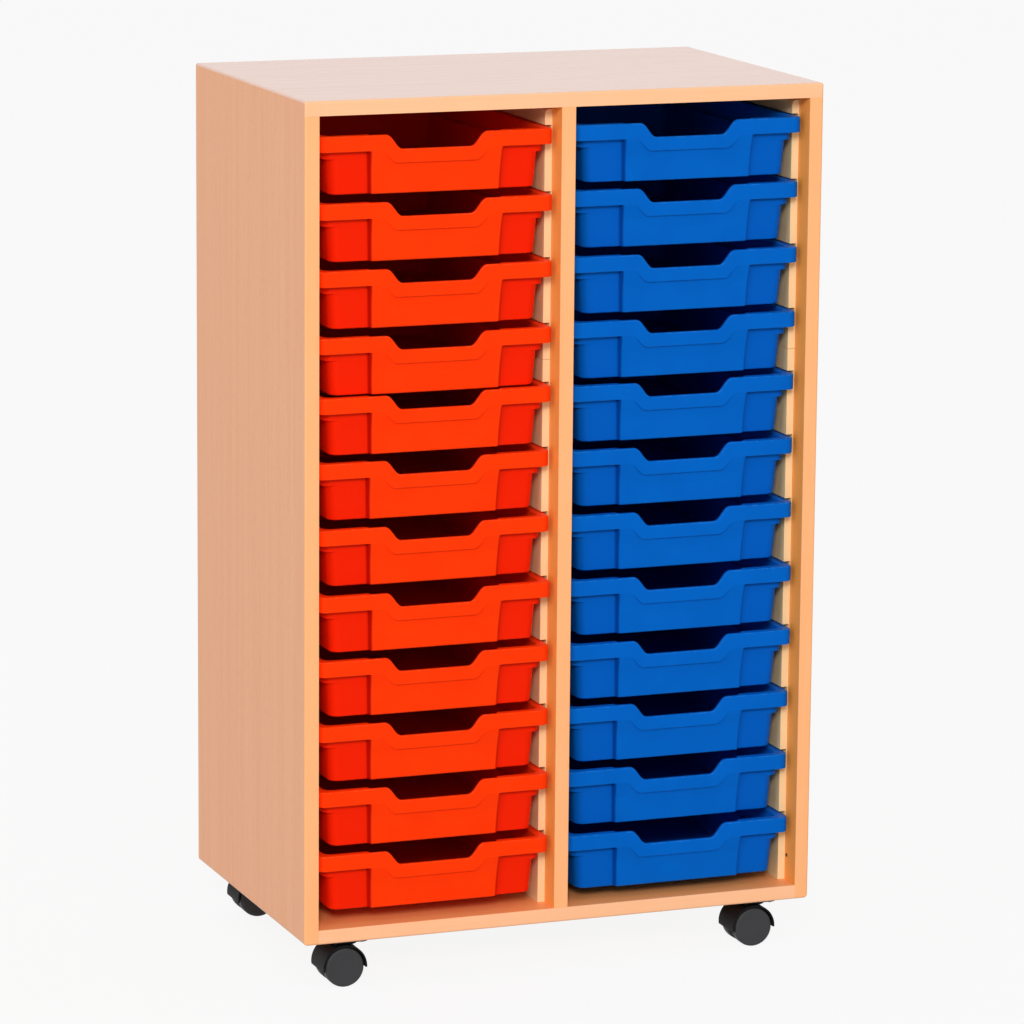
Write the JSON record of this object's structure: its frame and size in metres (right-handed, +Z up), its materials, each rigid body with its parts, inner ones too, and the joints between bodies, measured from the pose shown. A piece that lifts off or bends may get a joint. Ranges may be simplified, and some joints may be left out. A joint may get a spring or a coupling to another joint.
{
  "type": "classroom tray storage unit",
  "caption": "Mobile classroom storage unit: a beech-faced carcass with two columns of shallow plastic trays that slide out on moulded runners, standing on swivel casters.",
  "frame": {"origin": "on the floor, under the middle of the unit's width and depth", "axes": "+Z up, +X to the right and -Y out of the front, where the trays come out"},
  "size_m": [0.705, 0.45, 1.148],
  "materials": {
    "beech_board": "beech-effect melamine, satin",
    "runner_cream": "moulded, satin",
    "tray_red": "moulded polypropylene, satin gloss",
    "tray_blue": "moulded polypropylene, satin gloss",
    "caster_nylon": "moulded nylon, satin",
    "caster_wheel": "moulded nylon, matt",
    "caster_steel": "bright zinc plated"
  },
  "bodies": {
    "carcass": {"base_panel": "beech_board", "top_panel": "beech_board", "left_side_panel": "beech_board", "right_side_panel": "beech_board", "centre_divider": "beech_board", "back_panel": "beech_board", "lower_runner_red_left": "runner_cream", "upper_runner_red_left": "runner_cream", "lower_runner_red_right": "runner_cream", "upper_runner_red_right": "runner_cream", "lower_runner_blue_left": "runner_cream", "upper_runner_blue_left": "runner_cream", "lower_runner_blue_right": "runner_cream", "upper_runner_blue_right": "runner_cream", "caster_plate_front_left": "caster_steel", "caster_plate_front_right": "caster_steel", "caster_plate_rear_left": "caster_steel", "caster_plate_rear_right": "caster_steel"},
    "red_tray_01": {"red_tray_01": "tray_red"},
    "red_tray_02": {"red_tray_02": "tray_red"},
    "red_tray_03": {"red_tray_03": "tray_red"},
    "red_tray_04": {"red_tray_04": "tray_red"},
    "red_tray_05": {"red_tray_05": "tray_red"},
    "red_tray_06": {"red_tray_06": "tray_red"},
    "red_tray_07": {"red_tray_07": "tray_red"},
    "red_tray_08": {"red_tray_08": "tray_red"},
    "red_tray_09": {"red_tray_09": "tray_red"},
    "red_tray_10": {"red_tray_10": "tray_red"},
    "red_tray_11": {"red_tray_11": "tray_red"},
    "red_tray_12": {"red_tray_12": "tray_red"},
    "blue_tray_01": {"blue_tray_01": "tray_blue"},
    "blue_tray_02": {"blue_tray_02": "tray_blue"},
    "blue_tray_03": {"blue_tray_03": "tray_blue"},
    "blue_tray_04": {"blue_tray_04": "tray_blue"},
    "blue_tray_05": {"blue_tray_05": "tray_blue"},
    "blue_tray_06": {"blue_tray_06": "tray_blue"},
    "blue_tray_07": {"blue_tray_07": "tray_blue"},
    "blue_tray_08": {"blue_tray_08": "tray_blue"},
    "blue_tray_09": {"blue_tray_09": "tray_blue"},
    "blue_tray_10": {"blue_tray_10": "tray_blue"},
    "blue_tray_11": {"blue_tray_11": "tray_blue"},
    "blue_tray_12": {"blue_tray_12": "tray_blue"},
    "caster_front_left": {"caster_hood_front_left": "caster_nylon", "caster_axle_front_left": "caster_steel"},
    "wheel_front_left_near": {"caster_wheel_front_left_near": "caster_wheel"},
    "wheel_front_left_far": {"caster_wheel_front_left_far": "caster_wheel"},
    "caster_front_right": {"caster_hood_front_right": "caster_nylon", "caster_axle_front_right": "caster_steel"},
    "wheel_front_right_near": {"caster_wheel_front_right_near": "caster_wheel"},
    "wheel_front_right_far": {"caster_wheel_front_right_far": "caster_wheel"},
    "caster_rear_left": {"caster_hood_rear_left": "caster_nylon", "caster_axle_rear_left": "caster_steel"},
    "wheel_rear_left_near": {"caster_wheel_rear_left_near": "caster_wheel"},
    "wheel_rear_left_far": {"caster_wheel_rear_left_far": "caster_wheel"},
    "caster_rear_right": {"caster_hood_rear_right": "caster_nylon", "caster_axle_rear_right": "caster_steel"},
    "wheel_rear_right_near": {"caster_wheel_rear_right_near": "caster_wheel"},
    "wheel_rear_right_far": {"caster_wheel_rear_right_far": "caster_wheel"}
  },
  "joints": [
    {"name": "red_tray_01_slide", "type": "slide", "parent": "carcass", "child": "red_tray_01", "axis": [0, -1, 0], "range_m": [0, 0.3]},
    {"name": "red_tray_02_slide", "type": "slide", "parent": "carcass", "child": "red_tray_02", "axis": [0, -1, 0], "range_m": [0, 0.3]},
    {"name": "red_tray_03_slide", "type": "slide", "parent": "carcass", "child": "red_tray_03", "axis": [0, -1, 0], "range_m": [0, 0.3]},
    {"name": "red_tray_04_slide", "type": "slide", "parent": "carcass", "child": "red_tray_04", "axis": [0, -1, 0], "range_m": [0, 0.3]},
    {"name": "red_tray_05_slide", "type": "slide", "parent": "carcass", "child": "red_tray_05", "axis": [0, -1, 0], "range_m": [0, 0.3]},
    {"name": "red_tray_06_slide", "type": "slide", "parent": "carcass", "child": "red_tray_06", "axis": [0, -1, 0], "range_m": [0, 0.3]},
    {"name": "red_tray_07_slide", "type": "slide", "parent": "carcass", "child": "red_tray_07", "axis": [0, -1, 0], "range_m": [0, 0.3]},
    {"name": "red_tray_08_slide", "type": "slide", "parent": "carcass", "child": "red_tray_08", "axis": [0, -1, 0], "range_m": [0, 0.3]},
    {"name": "red_tray_09_slide", "type": "slide", "parent": "carcass", "child": "red_tray_09", "axis": [0, -1, 0], "range_m": [0, 0.3]},
    {"name": "red_tray_10_slide", "type": "slide", "parent": "carcass", "child": "red_tray_10", "axis": [0, -1, 0], "range_m": [0, 0.3]},
    {"name": "red_tray_11_slide", "type": "slide", "parent": "carcass", "child": "red_tray_11", "axis": [0, -1, 0], "range_m": [0, 0.3]},
    {"name": "red_tray_12_slide", "type": "slide", "parent": "carcass", "child": "red_tray_12", "axis": [0, -1, 0], "range_m": [0, 0.3]},
    {"name": "blue_tray_01_slide", "type": "slide", "parent": "carcass", "child": "blue_tray_01", "axis": [0, -1, 0], "range_m": [0, 0.3]},
    {"name": "blue_tray_02_slide", "type": "slide", "parent": "carcass", "child": "blue_tray_02", "axis": [0, -1, 0], "range_m": [0, 0.3]},
    {"name": "blue_tray_03_slide", "type": "slide", "parent": "carcass", "child": "blue_tray_03", "axis": [0, -1, 0], "range_m": [0, 0.3]},
    {"name": "blue_tray_04_slide", "type": "slide", "parent": "carcass", "child": "blue_tray_04", "axis": [0, -1, 0], "range_m": [0, 0.3]},
    {"name": "blue_tray_05_slide", "type": "slide", "parent": "carcass", "child": "blue_tray_05", "axis": [0, -1, 0], "range_m": [0, 0.3]},
    {"name": "blue_tray_06_slide", "type": "slide", "parent": "carcass", "child": "blue_tray_06", "axis": [0, -1, 0], "range_m": [0, 0.3]},
    {"name": "blue_tray_07_slide", "type": "slide", "parent": "carcass", "child": "blue_tray_07", "axis": [0, -1, 0], "range_m": [0, 0.3]},
    {"name": "blue_tray_08_slide", "type": "slide", "parent": "carcass", "child": "blue_tray_08", "axis": [0, -1, 0], "range_m": [0, 0.3]},
    {"name": "blue_tray_09_slide", "type": "slide", "parent": "carcass", "child": "blue_tray_09", "axis": [0, -1, 0], "range_m": [0, 0.3]},
    {"name": "blue_tray_10_slide", "type": "slide", "parent": "carcass", "child": "blue_tray_10", "axis": [0, -1, 0], "range_m": [0, 0.3]},
    {"name": "blue_tray_11_slide", "type": "slide", "parent": "carcass", "child": "blue_tray_11", "axis": [0, -1, 0], "range_m": [0, 0.3]},
    {"name": "blue_tray_12_slide", "type": "slide", "parent": "carcass", "child": "blue_tray_12", "axis": [0, -1, 0], "range_m": [0, 0.3]},
    {"name": "caster_front_left_swivel", "type": "hinge", "parent": "carcass", "child": "caster_front_left", "pos_m": [-0.2865, -0.193, 0.05], "axis": [0, 0, 1], "continuous": true},
    {"name": "wheel_front_left_near_spin", "type": "hinge", "parent": "caster_front_left", "child": "wheel_front_left_near", "pos_m": [-0.2945, -0.193, 0.026], "axis": [0, 1, 0], "continuous": true},
    {"name": "wheel_front_left_far_spin", "type": "hinge", "parent": "caster_front_left", "child": "wheel_front_left_far", "pos_m": [-0.2945, -0.193, 0.026], "axis": [0, 1, 0], "continuous": true},
    {"name": "caster_front_right_swivel", "type": "hinge", "parent": "carcass", "child": "caster_front_right", "pos_m": [0.2865, -0.193, 0.05], "axis": [0, 0, 1], "continuous": true},
    {"name": "wheel_front_right_near_spin", "type": "hinge", "parent": "caster_front_right", "child": "wheel_front_right_near", "pos_m": [0.2785, -0.193, 0.026], "axis": [0, 1, 0], "continuous": true},
    {"name": "wheel_front_right_far_spin", "type": "hinge", "parent": "caster_front_right", "child": "wheel_front_right_far", "pos_m": [0.2785, -0.193, 0.026], "axis": [0, 1, 0], "continuous": true},
    {"name": "caster_rear_left_swivel", "type": "hinge", "parent": "carcass", "child": "caster_rear_left", "pos_m": [-0.2865, 0.16, 0.05], "axis": [0, 0, 1], "continuous": true},
    {"name": "wheel_rear_left_near_spin", "type": "hinge", "parent": "caster_rear_left", "child": "wheel_rear_left_near", "pos_m": [-0.2945, 0.16, 0.026], "axis": [0, 1, 0], "continuous": true},
    {"name": "wheel_rear_left_far_spin", "type": "hinge", "parent": "caster_rear_left", "child": "wheel_rear_left_far", "pos_m": [-0.2945, 0.16, 0.026], "axis": [0, 1, 0], "continuous": true},
    {"name": "caster_rear_right_swivel", "type": "hinge", "parent": "carcass", "child": "caster_rear_right", "pos_m": [0.2865, 0.16, 0.05], "axis": [0, 0, 1], "continuous": true},
    {"name": "wheel_rear_right_near_spin", "type": "hinge", "parent": "caster_rear_right", "child": "wheel_rear_right_near", "pos_m": [0.2785, 0.16, 0.026], "axis": [0, 1, 0], "continuous": true},
    {"name": "wheel_rear_right_far_spin", "type": "hinge", "parent": "caster_rear_right", "child": "wheel_rear_right_far", "pos_m": [0.2785, 0.16, 0.026], "axis": [0, 1, 0], "continuous": true}
  ]
}
